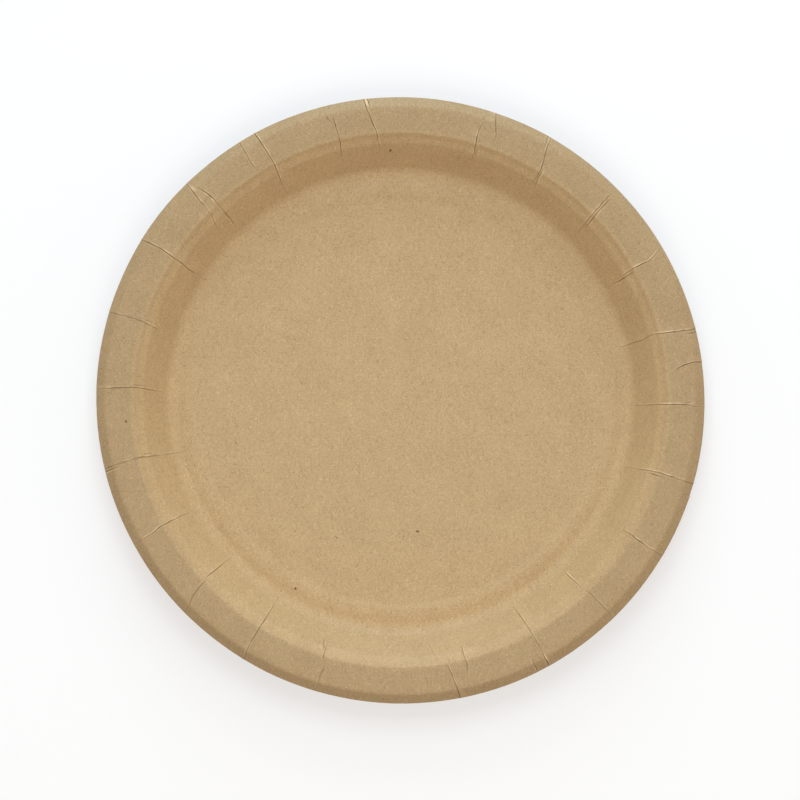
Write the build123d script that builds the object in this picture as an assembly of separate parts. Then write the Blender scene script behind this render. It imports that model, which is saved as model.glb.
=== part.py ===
from build123d import *
import os
from math import ceil, cos, degrees, radians, sin, tan

# Round paper plate, pressed in one stroke from a single scored disc of kraft board.
# Millimetres, +Z up. The origin is at the plate's centre, on the underside of its floor.

# Board and overall size
board_thickness = 0.42
plate_radius = 115.0

# Lip, turned down around the edge
lip_drop = 3.2
lip_slope = 42.0
lip_bend = 1.6

# Rim, rising a little outwards
rim_width = 10.5
rim_slope = 5.0

# Shoulder between the rim and the wall: a steep step, then a gentler ledge
step_width = 1.3
step_slope = 50.0
step_bend = 1.5
ledge_width = 2.25
ledge_slope = 40.0

# Wall, and the curve at its foot
wall_height = 12.65
wall_slope = 54.2
foot_bend = 5.6

# Low bead pressed up around the floor, just inside the curve of the foot
bead_inset = 0.45
bead_fall_width = 3.1
bead_crown_width = 2.1
bead_rise_width = 1.9
bead_height = 0.45

# Each bend of the section is drawn as short flats, none turning further than this
flat_turn = 46.0

# Scores pressed into the blank, evenly spaced, where the spare board of the rim is tucked in
score_count = 24
first_score = 1.5
pleat_width = 0.7
pleat_depth = 0.16
cut_overrun = 1.0

# Each pleat as (turn, reach of its outer end, reach of its tip). Turns are in score spacings,
# clockwise from the first score: near a whole number the pleat lies on a score, and the others are
# creases where the rim buckled by itself. Reaches run from the wall's foot, 0, to the plate's edge, 1.
# Two opposite scores, 0 and 12, were pressed flat and show no pleat.
pleat_shares = [
    (0.99, 1, 0.22),
    (1.18, 1, 0.65),
    (1.97, 1, 0.31),
    (3.00, 1, 0.08),
    (3.96, 1, 0.10),
    (4.98, 1, 0.01),
    (5.44, 1, 0.65),
    (5.96, 1, 0),
    (6.98, 1, 0.08),
    (7.96, 1, 0.27),
    (8.97, 1, 0.12),
    (9.96, 1, 0.08),
    (10.12, 1, 0.79),
    (10.97, 0.74, 0.34),
    (11.18, 1, 0.53),
    (12.98, 1, 0.29),
    (14.00, 1, 0),
    (15.00, 1, 0.02),
    (16.02, 1, 0.06),
    (17.02, 1, 0),
    (18.05, 1, 0.07),
    (19.01, 1, 0.29),
    (20.01, 1, 0.16),
    (20.84, 1, 0.29),
    (21.01, 0.75, 0.14),
    (21.76, 1, 0.61),
    (22.00, 1, 0.05),
    (23.00, 1, 0.24),
    (23.50, 1, 0.24),
]

# Radii of the section's corners, from the edge inwards
lip_radius = plate_radius - lip_drop / tan(radians(lip_slope))
step_radius = lip_radius - rim_width
ledge_radius = step_radius - step_width
wall_radius = ledge_radius - ledge_width
foot_radius = wall_radius - wall_height / tan(radians(wall_slope))
foot_start_radius = foot_radius - foot_bend * tan(radians(wall_slope / 2))
bead_outer_radius = foot_start_radius - bead_inset
crown_outer_radius = bead_outer_radius - bead_fall_width
crown_inner_radius = crown_outer_radius - bead_crown_width
floor_radius = crown_inner_radius - bead_rise_width

# Heights of the upper face at those corners, from the floor upwards
floor_level = board_thickness
crown_level = floor_level + bead_height
wall_level = floor_level + wall_height
ledge_level = wall_level + ledge_width * tan(radians(ledge_slope))
step_level = ledge_level + step_width * tan(radians(step_slope))
lip_level = step_level + rim_width * tan(radians(rim_slope))
edge_level = lip_level - lip_drop

# Corners of the upper face in section, on the floor and up the side
floor_corners = [
    (0, floor_level),
    (floor_radius, floor_level),
    (crown_inner_radius, crown_level),
    (crown_outer_radius, crown_level),
]
side_corners = [
    (bead_outer_radius, floor_level),
    (foot_radius, floor_level),
    (wall_radius, wall_level),
    (ledge_radius, ledge_level),
    (step_radius, step_level),
    (lip_radius, lip_level),
    (plate_radius, edge_level),
]
side_bends = [foot_bend, 0, 0, step_bend, lip_bend]


def side_points():
    """Points up the side of the section: the ends of its straight runs, and some along each bend."""
    points = [side_corners[0]]
    for edge in FilletPolyline(side_corners, radius=side_bends).edges():
        is_bend = edge.geom_type == GeomType.CIRCLE
        flats = ceil(degrees(edge.length / edge.radius) / flat_turn) if is_bend else 1
        points += [edge @ (flat / flats) for flat in range(1, flats + 1)]
    return points


def ring(points, width, side):
    """The solid swept about the axis by a band of a given width beside a line in section."""
    band = offset(Polyline(points), width, kind=Kind.TANGENT, side=side)
    return revolve(Plane.XZ * make_face(band.edges()), Axis.Z)


def plan_point(radius, angle):
    """A point seen from above, with its angle counted clockwise from +Y."""
    return (radius * sin(angle), radius * cos(angle))


def pleat_blade(turn, outer_reach, tip_reach):
    """An upright blade over one pleat, with its sides along two radii of the plate."""
    middle = radians(first_score + turn * 360 / score_count)
    half_turn = pleat_width / plate_radius / 2
    reach_length = plate_radius - foot_radius
    tip_radius = foot_radius + tip_reach * reach_length
    outer_radius = foot_radius + outer_reach * (reach_length + cut_overrun)
    outline = Polyline(
        plan_point(tip_radius, middle - half_turn),
        plan_point(outer_radius, middle - half_turn),
        plan_point(outer_radius, middle + half_turn),
        plan_point(tip_radius, middle + half_turn),
        close=True,
    )
    return extrude(make_face(outline), amount=lip_level + cut_overrun)


# The pleats are cut only as deep as a thin skin that follows the upper face.
side_line = side_points()
board = ring(floor_corners + side_line, board_thickness, Side.RIGHT)
skin = ring(side_line, pleat_depth, Side.BOTH)
plate = board - [skin & pleat_blade(*shares) for shares in pleat_shares]

os.makedirs("parts", exist_ok=True)
export_step(plate, "parts/plate.step")
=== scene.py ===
# %% [markdown]
# # A pressed paper plate in kraft board
# A paper plate begins as a flat disc of brown board. Score lines are pressed around its rim, then a
# heated die stamps the disc in one stroke: the floor stays flat, the wall bends up, and the spare board
# of the rim is tucked into small pleats along the scores. This lesson takes the same steps. Python lays
# out the scored blank, Geometry Nodes press it, and shader nodes give it its fibres.

# %% Load the frame
from math import pi, radians

import bpy
import numpy as np
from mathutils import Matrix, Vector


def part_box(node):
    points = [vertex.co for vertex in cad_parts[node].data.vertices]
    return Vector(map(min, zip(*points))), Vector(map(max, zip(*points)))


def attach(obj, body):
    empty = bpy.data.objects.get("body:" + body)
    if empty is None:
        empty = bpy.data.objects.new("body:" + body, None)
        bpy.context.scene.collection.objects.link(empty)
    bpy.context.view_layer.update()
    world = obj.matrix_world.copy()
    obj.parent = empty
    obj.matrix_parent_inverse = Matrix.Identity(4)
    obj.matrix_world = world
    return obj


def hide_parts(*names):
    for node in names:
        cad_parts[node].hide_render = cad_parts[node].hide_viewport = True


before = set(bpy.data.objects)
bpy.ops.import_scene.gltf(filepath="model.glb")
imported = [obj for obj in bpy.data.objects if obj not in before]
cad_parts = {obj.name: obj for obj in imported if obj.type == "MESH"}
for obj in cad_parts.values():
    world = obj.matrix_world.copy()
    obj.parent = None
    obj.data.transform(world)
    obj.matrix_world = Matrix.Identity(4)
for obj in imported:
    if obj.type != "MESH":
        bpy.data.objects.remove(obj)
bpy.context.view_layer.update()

plate_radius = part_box("plate")[1][0]

# %% [markdown]
# ## The section
# Cut through the plate and one line shows its whole form: a flat floor, a low bead that stiffens it, the
# wall, a small shoulder, the rim, and the lip turned down around the edge. A lathe (the Screw modifier)
# could spin that line, but then the pleats would have to be carved in afterwards. Here the line is kept
# as a curve that the press will follow. Each corner is a radius, a level and a bend, all in millimetres,
# and the bend is stored as the radius of the curve's point.

# %% The section as a curve
MM = 0.001
board_thickness = 0.42 * MM
edge_clearance = 0.1
plate_edge = plate_radius / MM - edge_clearance

section_corners = [
    (0, 0.42, 0),
    (77.54, 0.42, 2.5),
    (79.84, 0.87, 2.5),
    (82.30, 0.87, 2.5),
    (84.94, 0.44, 0.8),
    (88.30, 0.46, 5.6),
    (97.37, 13.06, 1.0),
    (99.62, 14.94, 0.8),
    (100.92, 16.48, 0.6),
    (106.60, 17.00, 90),
    (111.40, 17.18, 1.6),
    (plate_edge, 14.36, 0),
]

section_data = bpy.data.curves.new("section_line", "CURVE")
section_data.dimensions = "3D"
section_spline = section_data.splines.new("POLY")
section_spline.points.add(len(section_corners) - 1)
for point, (radius, level, bend) in zip(section_spline.points, section_corners):
    point.co = (radius * MM, 0, level * MM, 1)
    point.radius = bend * MM
section_line = bpy.data.objects.new("section_line", section_data)
bpy.context.collection.objects.link(section_line)

corner_radii = np.array([radius for radius, level, bend in section_corners])
corner_levels = np.array([level for radius, level, bend in section_corners])
corner_reaches = np.append(0, np.cumsum(np.hypot(np.diff(corner_radii), np.diff(corner_levels))))
blank_radius = corner_reaches[-1]
print("the blank is", round(2 * blank_radius, 1), "mm across before it is pressed")

# %% [markdown]
# ## The pleats
# The scores sit every 15 degrees, but board is stubborn: some folds wander off their score, many are
# doubled at the shoulder, and some buckle between two scores. Each entry below is one crease. Its first
# number says which side lies on top, above 0 for the side before it going clockwise and below 0 for the
# side after it, and how high the step is. The second is its breadth, 1 for a sharp fold and more for a
# soft one. Then come points along it, from the edge inwards: the distance from the centre in millimetres,
# the angle in degrees clockwise from the far side of the plate (+Y), and how deep the crease is there,
# from 0 to 1. The two entries with no depth are scores that were pressed quite flat.

# %% The creases, as they are seen from above
crease_lines = [
    (0, 1, [(115, 1.5, 0)]),
    (1, 1, [(115, 16.6, .2), (109.5, 16.6, .4), (106, 16.3, .7), (104, 16.3, 1), (98, 16.6, .9),
            (94, 16.6, 0)]),
    (-1, 1, [(100, 17.0, 0), (99, 17.05, .9), (97.5, 17.15, .9), (96, 17.2, 0)]),
    (1, 1, [(115, 18.4, .6), (111, 19.0, .9), (107, 19.8, .9), (105, 20.0, .3), (102, 19.8, 0)]),
    (1, 1, [(115, 29.2, .7), (112, 29.5, .6), (110, 29.8, 0)]),
    (1, 1, [(115, 29.8, .8), (111, 30.2, .9), (107, 30.8, 1), (102, 31.4, 1), (97.5, 31.5, .6),
            (96, 31.5, 0)]),
    (-1, 1, [(103.5, 31.9, 0), (102, 31.9, .6), (100, 32.0, .9), (97, 32.1, .6), (95.5, 32.1, 0)]),
    (1, 1, [(112, 45.8, 0), (110, 45.8, .6), (103, 46.0, .7), (97.5, 46.4, .7), (95, 46.5, .4),
            (90, 46.6, 0)]),
    (-1, 1, [(111, 46.4, 0), (109, 46.4, .7), (104, 46.6, .9), (97.5, 47.0, .9), (96, 47.0, 0)]),
    (1, 1, [(113.5, 60, 0), (112, 60.3, .6), (108, 61.0, .8), (104, 60.9, 1), (98, 60.8, .8), (96, 61, 0)]),
    (-1, 1, [(101, 61.4, 0), (99.5, 61.5, 1), (97, 61.6, 1), (94, 61.5, .7), (90, 61.5, 0)]),
    (1, 1, [(115, 76.6, .7), (111.5, 76.7, .9), (106, 76.3, .9), (101, 75.9, .8), (98.5, 75.7, .6),
            (97.3, 75.8, .5), (95, 76.1, .8), (88, 76.2, .6), (86.5, 76.2, 0)]),
    (-1, 1, [(115, 77.2, .9), (112, 77.3, .9), (110, 77.3, 0)]),
    (1, 1, [(115, 83.0, 1), (111, 83.0, 1), (107.5, 83.4, .9), (105.5, 83.8, .6), (103.5, 84.3, 0)]),
    (-1, 1, [(110.4, 90.6, 0), (109.4, 90.75, .9), (108.2, 90.9, .9), (107.6, 90.95, 0)]),
    (1, 1, [(115, 91.6, .2), (110.5, 91.5, .3), (109, 91.25, .7), (107, 90.95, .9), (101.5, 90.8, .9),
            (100, 90.5, .8), (98.5, 90.7, .5), (97.5, 91.0, .7), (92, 91.0, .5), (87, 91.0, 0)]),
    (1, 1, [(115, 106.2, .9), (112, 106.2, .8), (110, 106.2, .4), (104, 106.2, .7), (101.5, 106.0, .8),
            (98.5, 106.0, .7), (93, 106.3, .5), (89, 106.4, 0)]),
    (-1, 1, [(103, 106.7, 0), (101.5, 106.7, 1), (98.5, 106.7, 1), (97, 106.7, 0)]),
    (-3, 1, [(115, 108.6, .9), (113.5, 108.5, .3), (112.5, 108.4, 0)]),
    (1, 1, [(115, 121.0, .5), (108, 121.1, .6), (103, 120.8, .9), (101.5, 120.6, .8), (97.5, 120.6, .3),
            (96, 121, 0)]),
    (-1, 1, [(103, 121.3, 0), (101, 121.25, .5), (97.5, 121.3, .3), (95, 121.4, 0)]),
    (1, 2, [(115, 135.9, .4), (112, 135.8, .4), (109.5, 135.8, .6), (106, 135.8, .5), (101, 135.8, .4),
            (99.5, 136, 0)]),
    (1, 1, [(98, 136.1, 0), (96.5, 136.2, 1), (92, 136.2, .9), (90, 136.3, 0)]),
    (1, 1, [(115, 150.9, 1), (112, 150.9, 1), (109, 150.8, .6), (98, 150.8, .7), (94.5, 150.9, .9),
            (88, 151.3, 0)]),
    (-1, 1, [(115, 153.4, 1), (111, 153.3, .9), (109, 153.2, 0)]),
    (1, 1.4, [(108, 166.5, 0), (106, 166.3, .4), (103, 166.0, .5), (97.5, 166.1, .6), (95.5, 166.2, 0)]),
    (-1, 1, [(100, 166.6, 0), (98.5, 166.5, .5), (96.5, 166.6, 0)]),
    (1, 1.3, [(115, 168.7, 1), (112, 168.9, .8), (108, 169.2, .7), (102.5, 169.8, .5), (101, 170, 0)]),
    (1, 1.5, [(100, 171.8, 0), (99, 172.0, .25), (94, 173.2, .2), (92, 173.6, 0)]),
    (0, 1, [(115, 181.5, 0)]),
    (-1, 2.2, [(112, 196.2, .2), (110.5, 196.2, .5), (106, 195.9, .5), (103, 196.1, .4), (102, 196.3, 0)]),
    (-1, 1, [(103.5, 196.2, 0), (101.5, 196.5, .8), (98, 196.6, .8), (95.5, 196.5, 0)]),
    (1, 1, [(100, 196.9, 0), (98.5, 197.1, .6), (96.5, 197.5, .6), (94.5, 197.9, 0)]),
    (-1, 1, [(114, 210.9, .8), (111, 211.4, .7), (108, 211.5, .8), (100, 211.6, 1), (93, 211.6, .8),
             (87, 212, 0)]),
    (-1, 2, [(115, 225.3, .5), (111, 225.7, .5), (108, 226.4, .6), (104, 226.8, .6), (100.5, 226.9, .3),
             (99.5, 227, 0)]),
    (-1, 1, [(100, 227, 0), (98.4, 226.9, 1), (93, 226.7, .9), (88.5, 226.7, 0)]),
    (-1, 1, [(115, 241.4, .2), (107, 241.4, .4), (105.5, 241.5, .8), (103, 241.9, .9), (93, 242.0, .6),
             (89, 242, 0)]),
    (1, 1.3, [(115, 256.0, 1), (112, 256.1, 1), (110, 256.2, .7), (108, 256.5, 0)]),
    (-1, 1.8, [(115, 256.6, .6), (111, 256.8, .6), (108.5, 256.9, .4), (104, 257.1, .4), (99, 257.2, .6),
               (96, 257.1, .7), (94.5, 257.0, .4), (87, 256.9, .3), (79, 256.9, 0)]),
    (1, 1, [(101, 257.7, 0), (99.5, 257.8, .4), (97, 257.8, .4), (95.5, 257.7, 0)]),
    (-1, 1, [(115, 272.0, .4), (110.5, 272.0, .5), (109, 272.0, .9), (106, 272.2, .9), (99, 272.4, .9),
             (95, 272.2, .7), (89.5, 272.0, 0)]),
    (1, 1, [(102, 272.9, 0), (100, 272.95, .6), (97, 272.9, .6), (95.5, 272.9, 0)]),
    (-1, 1.6, [(115, 286.6, .5), (108, 286.7, .7), (105, 286.7, .7), (99, 286.5, .7), (96.5, 286.2, .6),
               (95.5, 286, 0)]),
    (1, 1, [(109, 287.0, 0), (106, 287.2, .4), (99, 287.2, .5), (97, 286.9, 0)]),
    (-1, 1, [(115, 301.6, 1), (109, 301.9, 1), (106, 302.0, 1), (100, 301.9, 1), (93, 301.7, .8),
             (91.5, 301.6, 0)]),
    (-1, 1, [(115, 315.2, .7), (108, 314.7, .8), (105, 314.6, .6), (100, 314.2, .6), (97, 313.6, .7),
             (95, 313.0, 0)]),
    (1, 1, [(111, 316.1, 0), (109.5, 316.3, .9), (106, 316.8, 1), (102, 316.9, .9), (93, 316.7, .7),
            (90.5, 316.7, 0)]),
    (-1, 1, [(114.5, 327.9, .8), (105, 327.7, .7), (103, 327.7, 0)]),
    (-1, 1, [(115, 331.2, 1), (109.8, 331.5, 1), (106, 331.6, .8), (100, 331.7, .9), (93.5, 331.4, .6),
             (89, 331.4, 0)]),
    (1, 1, [(111, 345.1, 0), (110, 345.3, .9), (107.5, 346.0, .8), (106.5, 346.05, 0)]),
    (-1, 1, [(111, 346.6, 0), (109.5, 346.6, .6), (106.5, 346.6, .8), (100, 346.8, .8),
             (94.5, 346.5, .5), (93, 346.4, 0)]),
    (-1, 1, [(115, 353.0, .9), (110.5, 353.4, 1), (105, 354.3, 1), (101.5, 354.9, 1), (97.5, 355.2, .6),
             (94.5, 355.3, 0)]),
    (1, 1, [(115, 353.7, 1), (112.5, 353.9, .9), (111, 354.2, 0), (97.5, 355.9, 0)]),
]
print(len(crease_lines), "creases")

# %% [markdown]
# ## The scored blank
# A mesh shows a crease well only if its edges run along it. So the blank is a wheel of spokes and rings:
# one spoke follows each crease, a few more lie close beside it, and the rest fill the gaps. The rings
# crowd together at the section's corners, where the board will bend, and on the pleated side. A fine
# grid everywhere would also do, but it would need ten times the faces.

# %% Rings, close together at the corners and on the pleated side
ring_spacing = 0.5
ring_growth = 0.3
floor_spacing = 12
side_spacing = 0.9
side_start = 84

side_reach = np.interp(side_start, corner_radii, corner_reaches)
ring_reaches = []
reach = 0
while reach < blank_radius:
    widest = side_spacing if reach > side_reach else floor_spacing
    reach += min(ring_spacing + ring_growth * np.abs(corner_reaches[1:] - reach).min(), widest)
    ring_reaches.append(reach)
ring_reaches = np.array(ring_reaches) * blank_radius / reach
ring_radii = np.interp(ring_reaches, corner_reaches, corner_radii)
print(len(ring_reaches), "rings")

# %% [markdown]
# No fold in board is quite straight or even. A fixed seed lets each crease wander a tenth of a millimetre
# to either side and run deeper in one place than in the next. Two creases never come closer than a small
# angle, so that no spokes cross.

# %% Angle and depth of every crease on every ring
wander_seed = 24
inner_margin = 8
outer_margin = 2
knot_spacing = 1.7
wander = 0.09
least_share = 0.45
crest_power = 2
least_gap = 0.3

dice = np.random.default_rng(wander_seed)
knots = np.arange(side_start - inner_margin, plate_edge + outer_margin, knot_spacing)

line_angles = []
line_depths = []
line_crest_highlights = []
for lap, breadth, points in crease_lines:
    radii, angles, depths = np.array(points[::-1], dtype=float).T
    strays = np.interp(ring_radii, knots, dice.normal(0, wander, len(knots)))
    shares = np.interp(ring_radii, knots, dice.uniform(least_share, 1, len(knots)))
    line_angles.append(np.interp(ring_radii, radii, angles) + np.degrees(strays / ring_radii))
    line_depths.append(np.interp(ring_radii, radii, depths) * shares)
    # How strong each crease's pale crest is along it, painted highlight and paler fibres, at random places
    line_crest_highlights.append(np.interp(ring_radii, knots, dice.uniform(0, 1, len(knots)) ** crest_power))
spread = least_gap * np.arange(len(crease_lines))[:, None]
line_angles = np.maximum.accumulate(np.array(line_angles) - spread) + spread
line_depths = np.array(line_depths)
line_crest_highlights = np.array(line_crest_highlights)
print("deepest", line_depths.max().round(2))

# %% Spokes, close together beside the creases
beside_crease = np.array([0, 0.10, 0.22, 0.42, 0.75])
spoke_spacing = 4.5
rim_radius = 106

next_angles = np.vstack([line_angles[1:], line_angles[:1] + 360])
rim_ring = np.abs(ring_radii - rim_radius).argmin()
gap_widths = np.radians(next_angles - line_angles)[:, rim_ring] * rim_radius
spoke_angles = []
for start, end, width in zip(line_angles, next_angles, gap_widths):
    close = beside_crease[beside_crease < width / 2]
    fill_count = int((width - 2 * close[-1]) / spoke_spacing) + 1
    fill = np.linspace(close[-1], width - close[-1], fill_count + 1)
    shares = np.unique(np.concatenate([close, fill, width - close[1:]]).round(3)) / width
    spoke_angles += [start + (end - start) * share for share in shares if share < 1]
spoke_angles = np.array(spoke_angles)
print(len(spoke_angles), "spokes")

# %% The wheel as a mesh
ring_count = len(ring_reaches)
spoke_count = len(spoke_angles)
spoke_turns = np.radians(spoke_angles)
flat_points = np.stack([ring_reaches * np.sin(spoke_turns), ring_reaches * np.cos(spoke_turns)], axis=-1)
flat_points = np.vstack([[(0, 0)], flat_points.reshape(-1, 2)]) * MM
here = np.arange(spoke_count * ring_count).reshape(spoke_count, ring_count) + 1
after = np.roll(here, -1, axis=0)
quads = np.stack([here[:, 1:], after[:, 1:], after[:, :-1], here[:, :-1]], axis=-1)
fan = np.stack([np.zeros(spoke_count, dtype=int), after[:, 0], here[:, 0]], axis=-1)

blank_mesh = bpy.data.meshes.new("scored_blank")
blank_points = np.column_stack([flat_points, np.zeros(len(flat_points))])
blank_mesh.from_pydata(blank_points.tolist(), [], quads.reshape(-1, 4).tolist() + fan.tolist())
print(len(blank_mesh.vertices), "points", len(blank_mesh.polygons), "faces")

# %% [markdown]
# Each point of the blank also carries what the press has to know about the creases: how far the nearest
# one is, how deep it is, and on which side of a fold the point lies. At a fold the board on one side lies
# a little over the other, and that small step dies away within a few millimetres. Along the upper edge of
# a fold a pale crest is painted, stronger in some places: partly the paler broken fibres that stand up
# there, partly a painted highlight where the crest catches the light.

# %% What each point knows about the creases
crease_reach = 0.5
lap_length = 5.0

laps = np.array([lap for lap, breadth, points in crease_lines])[:, None, None]
breadths = np.array([breadth for lap, breadth, points in crease_lines])[:, None, None]
turn_from_line = (spoke_angles[None] - line_angles[:, None] + 180) % 360 - 180
side = np.radians(turn_from_line) * ring_radii
depth = np.broadcast_to(line_depths[:, None], side.shape)
gap = np.abs(side) / breadths
nearest = (depth * np.exp(-gap / crease_reach)).argmax(axis=0)[None]
crease_gap = np.take_along_axis(gap, nearest, axis=0)[0]
crease_depth = np.take_along_axis(depth, nearest, axis=0)[0]
lap_side = -(laps * depth * np.sign(side.round(4)) * np.exp(-np.abs(side) / lap_length)).sum(axis=0)

# How strongly each point shows the pale crest beside its fold: partly paler broken fibres, partly a painted
# highlight
crest_gap = 0.40
crest_width = 0.19
lower_share = 0.3
under_lap = np.take_along_axis(side * laps, nearest, axis=0)[0] > 0
crest_highlight_shares = np.take_along_axis(np.broadcast_to(line_crest_highlights[:, None], side.shape), nearest, axis=0)[0]
side_distance = np.abs(np.take_along_axis(side, nearest, axis=0)[0])
crest_highlight_fade = np.exp(-(((side_distance - crest_gap) / crest_width) ** 2))
crease_crest = crest_highlight_fade * crest_highlight_shares * crease_depth * np.where(under_lap, lower_share, 1)

blank_values = {
    "crease_gap": crease_gap * MM,
    "crease_depth": crease_depth,
    "crease_crest": crease_crest,
    "lap_side": lap_side,
}
for name, values in blank_values.items():
    attribute = blank_mesh.attributes.new(name, "FLOAT", "POINT")
    attribute.data.foreach_set("value", np.append(0, values.ravel()).astype(np.float32))
print("lap from", lap_side.min().round(2), "to", lap_side.max().round(2))

# %% [markdown]
# ## The kraft board
# Kraft board is made of short wood fibres that lie every way in the sheet, some paler and some darker,
# with soft clouds where the pulp was thicker and a few dark specks of bark. The fibres belong to the flat
# sheet, so the pattern is read from a UV map that holds each point's place on the flat blank.

# %% Two helpers for node trees
def add(tree, kind, *sources, **settings):
    """Adds a node, with its settings, and fills its inputs in turn with links or plain values."""
    node = tree.nodes.new(kind)
    for name, value in settings.items():
        setattr(node, name, value)
    sockets = [socket for socket in node.inputs if socket.enabled]
    for socket, source in zip(sockets, sources):
        if isinstance(source, bpy.types.NodeSocket):
            tree.links.new(source, socket)
        elif source is not None:
            socket.default_value = source
    return node


def maths(tree, operation, *sources):
    """The result of one Math node."""
    return add(tree, "ShaderNodeMath", *sources, operation=operation).outputs[0]


# %% Two more, for vectors and for groups
def vectors(tree, operation, *sources):
    """The result of one Vector Math node."""
    node = add(tree, "ShaderNodeVectorMath", *sources, operation=operation)
    return next(socket for socket in node.outputs if socket.enabled)


def named_group(name, kind, inputs, outputs):
    """A new node group with the sockets given as names and socket types, and its two end nodes."""
    group = bpy.data.node_groups.new(name, kind)
    for socket_name, socket_type in inputs.items():
        group.interface.new_socket(socket_name, in_out="INPUT", socket_type="NodeSocket" + socket_type)
    for socket_name, socket_type in outputs.items():
        group.interface.new_socket(socket_name, in_out="OUTPUT", socket_type="NodeSocket" + socket_type)
    return group, group.nodes.new("NodeGroupInput").outputs, group.nodes.new("NodeGroupOutput").inputs


# %% [markdown]
# One fibre is a thin, slightly bowed ellipse. A Voronoi texture gives each of its cells a middle and three
# random numbers, which here turn the fibre, bow it and make it paler or darker than the sheet. Noise
# stretched along one axis would be simpler, but all its fibres would lie the same way.

# %% A group that draws loose fibres
fibres, given, result = named_group(
    "loose_fibres",
    "ShaderNodeTree",
    {"Sheet": "Vector", "Fibres per Metre": "Float", "Length": "Float", "Width": "Float", "Layer": "Float"},
    {"Shade": "Float"},
)
layer_shift = add(fibres, "ShaderNodeCombineXYZ", given["Layer"], given["Layer"], 0.0).outputs[0]
sheet_place = vectors(fibres, "ADD", given["Sheet"], layer_shift)
cell = add(fibres, "ShaderNodeTexVoronoi", sheet_place, given["Fibres per Metre"], voronoi_dimensions="2D")
draws = add(fibres, "ShaderNodeSeparateColor", cell.outputs["Color"]).outputs
from_middle = vectors(fibres, "SUBTRACT", sheet_place, cell.outputs["Position"])
fibre_turn = maths(fibres, "MULTIPLY", draws[0], 2 * pi)
turned = add(fibres, "ShaderNodeVectorRotate", from_middle, (0, 0, 0), fibre_turn, rotation_type="Z_AXIS")
fibre_axes = add(fibres, "ShaderNodeSeparateXYZ", turned.outputs[0]).outputs
along = maths(fibres, "DIVIDE", fibre_axes[0], given["Length"])
curl = maths(fibres, "MULTIPLY_ADD", draws[2], 2.0, -1.0)
bow = maths(fibres, "MULTIPLY", curl, maths(fibres, "MULTIPLY", along, along))
across = maths(fibres, "ADD", maths(fibres, "DIVIDE", fibre_axes[1], given["Width"]), bow)
off_fibre = maths(fibres, "MULTIPLY_ADD", along, along, maths(fibres, "MULTIPLY", across, across))
strand = add(fibres, "ShaderNodeMapRange", off_fibre, 0.0, 1.0, 1.0, 0.0, interpolation_type="SMOOTHSTEP")
lightness = maths(fibres, "MULTIPLY_ADD", draws[1], 2.0, -1.0)
tone_power = 3.0
tone = maths(fibres, "POWER", lightness, tone_power)
fibres.links.new(maths(fibres, "MULTIPLY", strand.outputs[0], tone), result["Shade"])
print("fibre group with", len(fibres.nodes), "nodes")

# %% A group that draws one speck of bark
speck, given, result = named_group(
    "bark_speck",
    "ShaderNodeTree",
    {"Sheet": "Vector", "Place": "Vector", "Turn": "Float", "Size": "Vector"},
    {"Mask": "Float"},
)
from_speck = vectors(speck, "SUBTRACT", given["Sheet"], given["Place"])
turned = add(speck, "ShaderNodeVectorRotate", from_speck, (0, 0, 0), given["Turn"], rotation_type="Z_AXIS")
off_speck = vectors(speck, "LENGTH", vectors(speck, "DIVIDE", turned.outputs[0], given["Size"]))
speck_core = 0.3
mark = add(speck, "ShaderNodeMapRange", off_speck, speck_core, 1.0, 1.0, 0.0, interpolation_type="SMOOTHSTEP")
speck.links.new(mark.outputs[0], result["Mask"])
print("speck group with", len(speck.nodes), "nodes")

# %% The fibres of the sheet
kraft_board = bpy.data.materials.new("fibrous_kraft")
kraft_board.use_nodes = True
kraft = kraft_board.node_tree
board_shader = kraft.nodes["Principled BSDF"]
sheet = add(kraft, "ShaderNodeUVMap", uv_map="blank").outputs[0]

# Fibre layers as fibres per metre, length and width in millimetres, and strength
fibre_layers = [
    (900, 1.0, 0.22, 0.32),
    (1300, 0.7, 0.18, 0.32),
    (600, 1.7, 0.20, 0.24),
]
grain_scale, grain_detail, grain_strength = 1500, 1.0, 0.45
cloud_scale, cloud_detail, cloud_strength = 70, 3.0, 0.2
noise_roughness = 0.6


def flat_noise(scale, detail):
    """Plain noise on the flat sheet."""
    noise = add(kraft, "ShaderNodeTexNoise", sheet, scale, detail, noise_roughness, noise_dimensions="2D")
    return noise.outputs[0]


grain = flat_noise(grain_scale, grain_detail)
clouds = flat_noise(cloud_scale, cloud_detail)
shade = maths(kraft, "MULTIPLY_ADD", grain, grain_strength, -grain_strength / 2)
shade = maths(kraft, "ADD", shade, maths(kraft, "MULTIPLY_ADD", clouds, cloud_strength, -cloud_strength / 2))
for layer, (count, length, width, strength) in enumerate(fibre_layers, start=1):
    drawn = add(kraft, "ShaderNodeGroup", node_tree=fibres)
    kraft.links.new(sheet, drawn.inputs["Sheet"])
    drawn.inputs["Fibres per Metre"].default_value = count
    drawn.inputs["Length"].default_value = length * MM
    drawn.inputs["Width"].default_value = width * MM
    drawn.inputs["Layer"].default_value = layer
    shade = maths(kraft, "MULTIPLY_ADD", drawn.outputs[0], strength, shade)

dark_fibre = (0.342, 0.217, 0.099, 1)
pale_fibre = (0.706, 0.510, 0.271, 1)
pulp_share = maths(kraft, "ADD", shade, 0.5)
colour = add(kraft, "ShaderNodeMix", pulp_share, dark_fibre, pale_fibre, data_type="RGBA").outputs[2]
print("sheet with", len(fibre_layers), "layers of fibres")

# %% [markdown]
# The rim's colour is painted a shade darker, as painted shade, because the lamps light the raised rim more
# than the floor. A fold shows as a thin brown line of painted shade, because light that gets into the crack
# comes out again only after it has met the board several times, and as a pale crest beside it, partly paler
# broken fibres and partly a painted highlight. The few specks of bark are placed one by one, where this
# plate has them.

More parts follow.
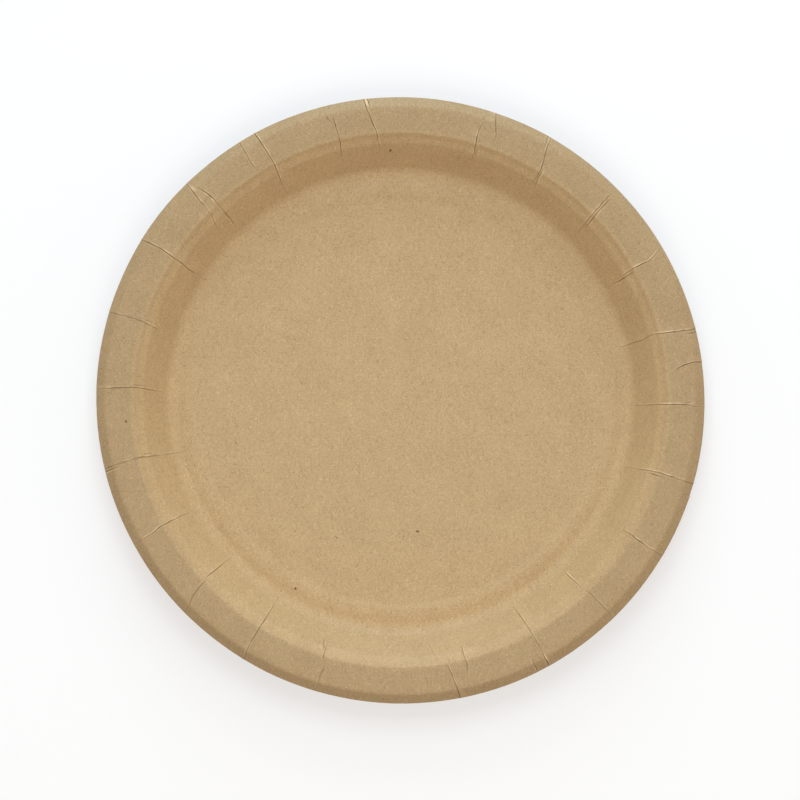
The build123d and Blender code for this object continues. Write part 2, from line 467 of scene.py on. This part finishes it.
# %% Painted shade on the rim and along the folds, and a painted highlight on their crests
def carried(name):
    """Reads a value that the plate's points carry."""
    return add(kraft, "ShaderNodeAttribute", attribute_name=name).outputs["Fac"]


# Painted shade: the rim's colour is made darker, because the lamps light the raised rim more than the floor
painted_rim_shade_strength = 0.175
painted_rim_shade_factor = maths(kraft, "MULTIPLY_ADD", carried("painted_rim_shade"), -painted_rim_shade_strength, 1.0)
colour = vectors(kraft, "SCALE", colour, painted_rim_shade_factor)

# Painted shade: a thin brown line along each fold's crack, where light is lost
crack_shade_width = 0.18 * MM
painted_crack_shade = (0.13, 0.062, 0.02, 1)
crack_shade_part = maths(kraft, "DIVIDE", carried("crease_gap"), crack_shade_width)
crack_shade_fade = maths(kraft, "EXPONENT", maths(kraft, "MULTIPLY", maths(kraft, "POWER", crack_shade_part, 2.0), -1.0))
crack_shade_share = maths(kraft, "MULTIPLY", crack_shade_fade, carried("crease_depth"))
colour = add(kraft, "ShaderNodeMix", crack_shade_share, colour, painted_crack_shade, data_type="RGBA").outputs[2]

# Pale crest beside each fold: partly paler broken fibres, partly a painted highlight
crest_highlight_strength = 1.9
crest_highlight_colour = (0.80, 0.60, 0.34, 1)
crest_highlight_share = maths(kraft, "MULTIPLY", carried("crease_crest"), crest_highlight_strength)
colour = add(kraft, "ShaderNodeMix", crest_highlight_share, colour, crest_highlight_colour, data_type="RGBA").outputs[2]
print("folds with a brown crack and a pale crest")

# %% Specks of bark
# Specks as radius and angle like the creases, turn in degrees, half length and half width in
# millimetres, and strength
specks = [
    (82.5, 209.1, 90, 0.75, 0.60, 0.95),
    (50.6, 172.6, 15, 0.90, 0.55, 0.85),
    (57.9, 205.0, 35, 1.20, 0.36, 0.55),
    (95.1, 357.7, 90, 1.20, 0.70, 0.80),
    (103.8, 265.2, 80, 0.85, 0.60, 0.85),
    (105.6, 116.6, 0, 0.60, 0.50, 0.40),
    (65.2, 255.6, 90, 0.80, 0.40, 0.30),
    (95.1, 89.1, 10, 0.70, 0.40, 0.35),
]
bark = (0.07, 0.035, 0.008, 1)
for radius, angle, turn, half_length, half_width, strength in specks:
    reach = np.interp(radius, corner_radii, corner_reaches) * MM
    drawn = add(kraft, "ShaderNodeGroup", node_tree=speck)
    kraft.links.new(sheet, drawn.inputs["Sheet"])
    direction = radians(angle)
    drawn.inputs["Place"].default_value = (reach * np.sin(direction), reach * np.cos(direction), 0)
    drawn.inputs["Turn"].default_value = radians(turn)
    drawn.inputs["Size"].default_value = (half_length * MM, half_width * MM, 1)
    speck_share = maths(kraft, "MULTIPLY", drawn.outputs[0], strength)
    colour = add(kraft, "ShaderNodeMix", speck_share, colour, bark, data_type="RGBA").outputs[2]
kraft.links.new(colour, board_shader.inputs["Base Color"])
print(len(specks), "specks")

# %% A matt surface with a little fuzz
darkest_share, palest_share = 0.2, 0.8
smoothest, roughest = 0.42, 0.62
gloss = 0.24
rough = add(kraft, "ShaderNodeMapRange", pulp_share, darkest_share, palest_share, roughest, smoothest)
kraft.links.new(rough.outputs[0], board_shader.inputs["Roughness"])
board_shader.inputs["Specular IOR Level"].default_value = gloss
fuzz_strength = 0.35
fuzz_height = 0.06 * MM
fuzz = add(kraft, "ShaderNodeBump", fuzz_strength, fuzz_height)
kraft.links.new(shade, fuzz.inputs["Height"])
kraft.links.new(fuzz.outputs[0], board_shader.inputs["Normal"])
print("kraft board with", len(kraft.nodes), "nodes")

# %% [markdown]
# ## The press
# The press is one Geometry Nodes tree. It takes each point of the flat blank, measures its distance from
# the centre, and looks up where that distance lands along the rounded section line: the point keeps its
# direction and moves to the radius and level found there. The folds are pushed along the section's own
# normal. Then the sheet is given its thickness, a little more under each pleat, where the board is folded
# on itself.

# %% The press as a node tree
press, given, result = named_group(
    "press",
    "GeometryNodeTree",
    {
        "Blank": "Geometry",
        "Section": "Object",
        "Blank Radius": "Float",
        "Board Thickness": "Float",
        "Side Start": "Float",
        "Side Blend": "Float",
        "Painted Rim Shade Start": "Float",
        "Painted Rim Shade Blend": "Float",
        "Ridge Height": "Float",
        "Ridge Width": "Float",
        "Crack Depth": "Float",
        "Crack Width": "Float",
        "Lap Height": "Float",
        "Tuck Height": "Float",
        "Tuck Width": "Float",
        "Oval Share": "Float",
        "Oval Turn": "Float",
        "Warp Height": "Float",
        "Bake Radius": "Float",
        "Board": "Material",
    },
    {"Plate": "Geometry"},
)


def named_value(name):
    """Reads one of the values that the points of the blank carry."""
    return add(press, "GeometryNodeInputNamedAttribute", name).outputs[0]


def fold_hump(height, width):
    """A rounded hump along the creases, as high as each is deep, that fades over about its width."""
    part = maths(press, "DIVIDE", named_value("crease_gap"), width)
    fade = maths(press, "EXPONENT", maths(press, "MULTIPLY", maths(press, "MULTIPLY", part, part), -1.0))
    return maths(press, "MULTIPLY", maths(press, "MULTIPLY", fade, named_value("crease_depth")), height)


def flat_vector(length):
    """A vector with the same length along X and Y and none along Z."""
    return add(press, "ShaderNodeCombineXYZ", length, length, 0.0).outputs[0]


def upright(length):
    """A vector of some length along Z."""
    return add(press, "ShaderNodeCombineXYZ", 0.0, 0.0, length).outputs[0]


# %% Along the section
flat_place = add(press, "GeometryNodeInputPosition").outputs[0]
from_centre = vectors(press, "LENGTH", flat_place)
outwards = vectors(press, "NORMALIZE", flat_place)
section = add(press, "GeometryNodeObjectInfo", given["Section"], False).outputs["Geometry"]
bend = add(press, "GeometryNodeInputRadius").outputs[0]
bend_points = 10
rounded = add(press, "GeometryNodeFilletCurve", section, bend_points, bend, True, mode="POLY").outputs[0]
reach_share = maths(press, "DIVIDE", from_centre, given["Blank Radius"])
landing = add(press, "GeometryNodeSampleCurve", rounded, None, reach_share, 0).outputs
place = add(press, "ShaderNodeSeparateXYZ", landing["Position"]).outputs
tangent = add(press, "ShaderNodeSeparateXYZ", landing["Tangent"]).outputs
lean = maths(press, "MULTIPLY", tangent[2], -1.0)
leaning = vectors(press, "MULTIPLY", outwards, flat_vector(lean))
sheet_normal = vectors(press, "ADD", leaning, upright(tangent[0]))

# %% [markdown]
# A fold is a low ridge with a thin crack along its top, and a step where one side laps over the other.
# Board also springs back unevenly when the die opens, so the rim is warped a little and slightly oval.

# %% Folds, laps and a little warp
side_end = maths(press, "ADD", given["Side Start"], given["Side Blend"])
on_side = add(press, "ShaderNodeMapRange", from_centre, given["Side Start"], side_end).outputs[0]
up_side = add(press, "ShaderNodeMapRange", from_centre, given["Side Start"], given["Blank Radius"]).outputs[0]
ridge = fold_hump(given["Ridge Height"], given["Ridge Width"])
crack = fold_hump(given["Crack Depth"], given["Crack Width"])
fold = maths(press, "MULTIPLY", maths(press, "SUBTRACT", ridge, crack), on_side)
lap = maths(press, "MULTIPLY", named_value("lap_side"), given["Lap Height"])
warp_scale = 22.0
warp_noise = add(press, "ShaderNodeTexNoise", flat_place, warp_scale, 1.0).outputs[0]
warp_part = maths(press, "MULTIPLY", maths(press, "SUBTRACT", warp_noise, 0.5), up_side)
warp = maths(press, "MULTIPLY", warp_part, given["Warp Height"])
lift = maths(press, "ADD", maths(press, "ADD", fold, lap), warp)
# Where the painted shade on the rim begins, and how far it takes to come in full
painted_rim_shade_end = maths(press, "ADD", given["Painted Rim Shade Start"], given["Painted Rim Shade Blend"])
painted_rim_shade = add(press, "ShaderNodeMapRange", place[0], given["Painted Rim Shade Start"], painted_rim_shade_end).outputs[0]

flat_axes = add(press, "ShaderNodeSeparateXYZ", outwards).outputs
angle = maths(press, "ARCTAN2", flat_axes[0], flat_axes[1])
twice_turned = maths(press, "MULTIPLY", maths(press, "SUBTRACT", angle, given["Oval Turn"]), 2.0)
oval_part = maths(press, "MULTIPLY", maths(press, "COSINE", twice_turned), up_side)
oval = maths(press, "MULTIPLY_ADD", oval_part, given["Oval Share"], 1.0)
on_ring = vectors(press, "MULTIPLY", outwards, flat_vector(maths(press, "MULTIPLY", place[0], oval)))
on_section = vectors(press, "ADD", on_ring, upright(place[2]))
pressed_place = vectors(press, "ADD", on_section, vectors(press, "SCALE", sheet_normal, lift))


# %% Keep the flat place and the normal, then press
def keep(geometry, name, data_type, domain, value):
    """Stores a value on the mesh under a name."""
    node = add(press, "GeometryNodeStoreNamedAttribute", data_type=data_type, domain=domain)
    press.links.new(geometry, node.inputs["Geometry"])
    node.inputs["Name"].default_value = name
    value_sockets = [socket for socket in node.inputs if socket.name == "Value" and socket.enabled]
    press.links.new(value, value_sockets[0])
    return node.outputs[0]


def kept_vector(name):
    """Reads a vector stored on the mesh."""
    return add(press, "GeometryNodeInputNamedAttribute", name, data_type="FLOAT_VECTOR").outputs[0]


marked = keep(given["Blank"], "flat_place", "FLOAT_VECTOR", "POINT", flat_place)
marked = keep(marked, "sheet_normal", "FLOAT_VECTOR", "POINT", sheet_normal)
marked = keep(marked, "on_side", "FLOAT", "POINT", on_side)
# The share of painted shade on the rim, which the board's colour reads
marked = keep(marked, "painted_rim_shade", "FLOAT", "POINT", painted_rim_shade)
upper = add(press, "GeometryNodeSetPosition", marked, True, pressed_place).outputs[0]

# %% Thickness
tuck = maths(press, "MULTIPLY", fold_hump(given["Tuck Height"], given["Tuck Width"]), named_value("on_side"))
through = maths(press, "MULTIPLY", maths(press, "ADD", given["Board Thickness"], tuck), -1.0)
through_board = vectors(press, "SCALE", kept_vector("sheet_normal"), through)
turned = add(press, "GeometryNodeFlipFaces", upper).outputs[0]
lower = add(press, "GeometryNodeExtrudeMesh", turned, True, through_board, 1.0, False).outputs
marked_lower = keep(lower["Mesh"], "under", "FLOAT", "POINT", lower["Top"])
marked_lower = keep(marked_lower, "under_face", "FLOAT", "FACE", lower["Top"])
both = add(press, "GeometryNodeJoinGeometry")
press.links.new(marked_lower, both.inputs[0])
press.links.new(upper, both.inputs[0])
weld = 0.001 * MM
shell = add(press, "GeometryNodeMergeByDistance", both.outputs[0], True, weld).outputs[0]

# %% [markdown]
# Two maps are laid on the shell. The first is each point's place on the flat blank, for the fibres, with
# the underside moved aside so that its fibres differ. The second lays the two faces of the board side by
# side in one square, so that the colours can be baked into a picture.

# %% Maps for the fibres and for baking
under_face = named_value("under_face")
on_cut = maths(press, "MULTIPLY", named_value("under"), maths(press, "SUBTRACT", 1.0, under_face))
cut_width = maths(press, "DIVIDE", given["Board Thickness"], given["Blank Radius"])
stretch = maths(press, "MULTIPLY_ADD", on_cut, cut_width, 1.0)
spread_place = vectors(press, "SCALE", kept_vector("flat_place"), stretch)
underside_shift = 0.31
shift = maths(press, "MULTIPLY", under_face, underside_shift)
sheet_shift = add(press, "ShaderNodeCombineXYZ", shift, 0.0, 0.0).outputs[0]
sheet_map = vectors(press, "ADD", spread_place, sheet_shift)

disc_place = 0.5 / (1 + 0.5 ** 0.5)
bake_centre = maths(press, "MULTIPLY_ADD", under_face, 1 - 2 * disc_place, disc_place)
bake_scale = maths(press, "DIVIDE", given["Bake Radius"], given["Blank Radius"])
bake_map = vectors(press, "ADD", vectors(press, "SCALE", spread_place, bake_scale), flat_vector(bake_centre))
mapped = keep(shell, "blank", "FLOAT2", "CORNER", sheet_map)
mapped = keep(mapped, "OFBake", "FLOAT2", "CORNER", bake_map)

# %% Smooth faces with a crisp cut edge
cut_angle = radians(50)
edge_angle = add(press, "GeometryNodeInputMeshEdgeAngle").outputs[0]
smooth = add(press, "GeometryNodeSetShadeSmooth", mapped, True, True).outputs[0]
crisp = keep(smooth, "sharp_edge", "BOOLEAN", "EDGE", maths(press, "GREATER_THAN", edge_angle, cut_angle))
solid = add(press, "GeometryNodeRealizeInstances", crisp).outputs[0]
dressed = add(press, "GeometryNodeSetMaterial", solid, True, given["Board"]).outputs[0]
press.links.new(dressed, result[0])
print("press with", len(press.nodes), "nodes")

# %% Sizes for the press
press_sizes = {
    "Section": section_line,
    "Blank Radius": blank_radius * MM,
    "Board Thickness": board_thickness,
    "Side Start": 86 * MM,
    "Side Blend": 4 * MM,
    # Where the painted shade on the rim begins, and how far it blends in
    "Painted Rim Shade Start": 100.3 * MM,
    "Painted Rim Shade Blend": 2.0 * MM,
    "Ridge Height": 0.16 * MM,
    "Ridge Width": 0.42 * MM,
    "Crack Depth": 0.28 * MM,
    "Crack Width": 0.14 * MM,
    "Lap Height": 0.06 * MM,
    "Tuck Height": 0.2 * MM,
    "Tuck Width": 0.8 * MM,
    "Oval Share": 0.0030,
    "Oval Turn": radians(-51.6),
    "Warp Height": 0.5 * MM,
    "Bake Radius": 0.285,
    "Board": kraft_board,
}
print(len(press_sizes), "inputs for the press")

# %% Press the blank
blank = bpy.data.objects.new("scored_blank", blank_mesh)
bpy.context.collection.objects.link(blank)
stroke = blank.modifiers.new("press", "NODES")
stroke.node_group = press
for item in press.interface.items_tree:
    if item.name in press_sizes:
        stroke[item.identifier] = press_sizes[item.name]
scene_state = bpy.context.evaluated_depsgraph_get()
pressed = blank.evaluated_get(scene_state)
plate_mesh = bpy.data.meshes.new_from_object(pressed, preserve_all_data_layers=True, depsgraph=scene_state)
for spare in (blank, section_line):
    bpy.data.objects.remove(spare)
for name in ("flat_place", "sheet_normal", "on_side", "under", "under_face", "lap_side"):
    plate_mesh.attributes.remove(plate_mesh.attributes[name])
plate_mesh.name = "pressed_plate"
pressed_plate = bpy.data.objects.new("pressed_plate", plate_mesh)
bpy.context.collection.objects.link(pressed_plate)
print(len(plate_mesh.vertices), "points", len(plate_mesh.polygons), "faces", plate_mesh.uv_layers.keys())

# %% Hang the plate on the frame
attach(pressed_plate, "root")
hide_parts("plate")

# %% [markdown]
# ## Floor, light and camera
# The plate was photographed from almost straight above on white. Its light is soft and comes from all
# around, most of it cool light from the far side, with weaker warm light from the near side, the left and
# the right. A pale floor, a bright surround and a few large soft lamps do the same. The floor and the
# surround look white because both glow more where the camera sees them, straight or in a reflection, and
# that extra glow lights nothing else.

# %% A pale floor that keeps the shadow
floor_half = 4.0
floor_level = -0.2 * MM
floor_grey = 0.45
floor_glow = 0.55

floor_mesh = bpy.data.meshes.new("floor")
floor_corners = [(-1, -1), (1, -1), (1, 1), (-1, 1)]
floor_points = [(x * floor_half, y * floor_half, floor_level) for x, y in floor_corners]
floor_mesh.from_pydata(floor_points, [], [(0, 1, 2, 3)])
floor = bpy.data.objects.new("floor", floor_mesh)
bpy.context.collection.objects.link(floor)
floor_paper = bpy.data.materials.new("floor_paper")
floor_paper.use_nodes = True
floor_tree = floor_paper.node_tree
floor_shader = floor_tree.nodes["Principled BSDF"]
floor_shader.inputs["Base Color"].default_value = (floor_grey, floor_grey, floor_grey, 1)
floor_shader.inputs["Roughness"].default_value = 1.0
floor_shader.inputs["Specular IOR Level"].default_value = 0.0
floor_shader.inputs["Emission Color"].default_value = (1, 1, 1, 1)
print("floor", 2 * floor_half, "m across")

# %% The floor's glow
def seen(tree):
    """One where the camera looks, straight or in a reflection or through glass, and otherwise nought."""
    path = add(tree, "ShaderNodeLightPath").outputs
    reflected = maths(tree, "MAXIMUM", path["Is Glossy Ray"], path["Is Transmission Ray"])
    return maths(tree, "MAXIMUM", path["Is Camera Ray"], reflected)


floor_strength = maths(floor_tree, "MULTIPLY", seen(floor_tree), floor_glow)
floor_tree.links.new(floor_strength, floor_shader.inputs["Emission Strength"])
floor_mesh.materials.append(floor_paper)

# %% A bright surround
surround_level = 0.3
world = bpy.data.worlds.new("surround")
bpy.context.scene.world = world
world.use_nodes = True
world_tree = world.node_tree
surround = world_tree.nodes["Background"]
surround.inputs["Color"].default_value = (1, 1, 1, 1)
surround_strength = maths(world_tree, "MULTIPLY_ADD", seen(world_tree), 1 - surround_level, surround_level)
world_tree.links.new(surround_strength, surround.inputs["Strength"])
print("surround lights at", surround_level)


# %% Soft lamps
def soft_lamp(name, place, size, power, colour):
    """Hangs a square soft lamp that faces the plate."""
    data = bpy.data.lights.new(name, "AREA")
    data.size = size
    data.energy = power
    data.color = colour
    lamp = bpy.data.objects.new(name, data)
    lamp.location = place
    lamp.visible_camera = False
    lamp.rotation_euler = (-lamp.location).to_track_quat("-Z", "Y").to_euler()
    bpy.context.collection.objects.link(lamp)


warm = (1.20, 1.0, 0.83)
cool = (0.87, 1.0, 1.11)
# Lamps as name, place and size in metres, power in watts, and colour
lamps = [
    ("far_high_lamp", (0, 0.55, 0.95), 0.6, 4.6, cool),
    ("far_low_lamp", (0, 2.4, 0.8), 1.4, 31, cool),
    ("near_lamp", (0, -0.55, 0.95), 0.6, 3.0, warm),
    ("left_lamp", (-1.2, 0, 0.4), 0.7, 1.0, warm),
    ("right_lamp", (1.2, 0, 0.4), 0.7, 1.8, warm),
]
for name, place_in_room, size, power, tint in lamps:
    soft_lamp(name, place_in_room, size, power, tint)
print(len(lamps), "lamps")

# %% The camera, almost straight above
camera_data = bpy.data.cameras.new("camera")
camera_data.sensor_width = 36
camera_data.lens = 135
# The photo's width, the plate's radius in it and the plate's centre in it, in pixels
photo_width = 800
plate_in_photo = 303.8
plate_centre_in_photo = (400.42, 400.45)
camera_lean = radians(3.0)
edge_level = 13.9 * MM

view_width = plate_edge * MM * photo_width / plate_in_photo
pixel = view_width / photo_width
camera_distance = view_width * camera_data.lens / camera_data.sensor_width
nearer_half = (plate_edge * MM) ** 2 * np.sin(camera_lean) / camera_distance
aim_x = (photo_width / 2 - plate_centre_in_photo[0]) * pixel
aim_y = (plate_centre_in_photo[1] - photo_width / 2) * pixel - nearer_half
camera = bpy.data.objects.new("camera", camera_data)
camera.location = (
    aim_x,
    aim_y - camera_distance * np.sin(camera_lean),
    edge_level + camera_distance * np.cos(camera_lean),
)
camera.rotation_euler = (camera_lean, 0, 0)
bpy.context.collection.objects.link(camera)
bpy.context.scene.camera = camera
bpy.context.scene.view_settings.view_transform = "Standard"
print("camera", round(camera.location.z, 4), "m above the table")
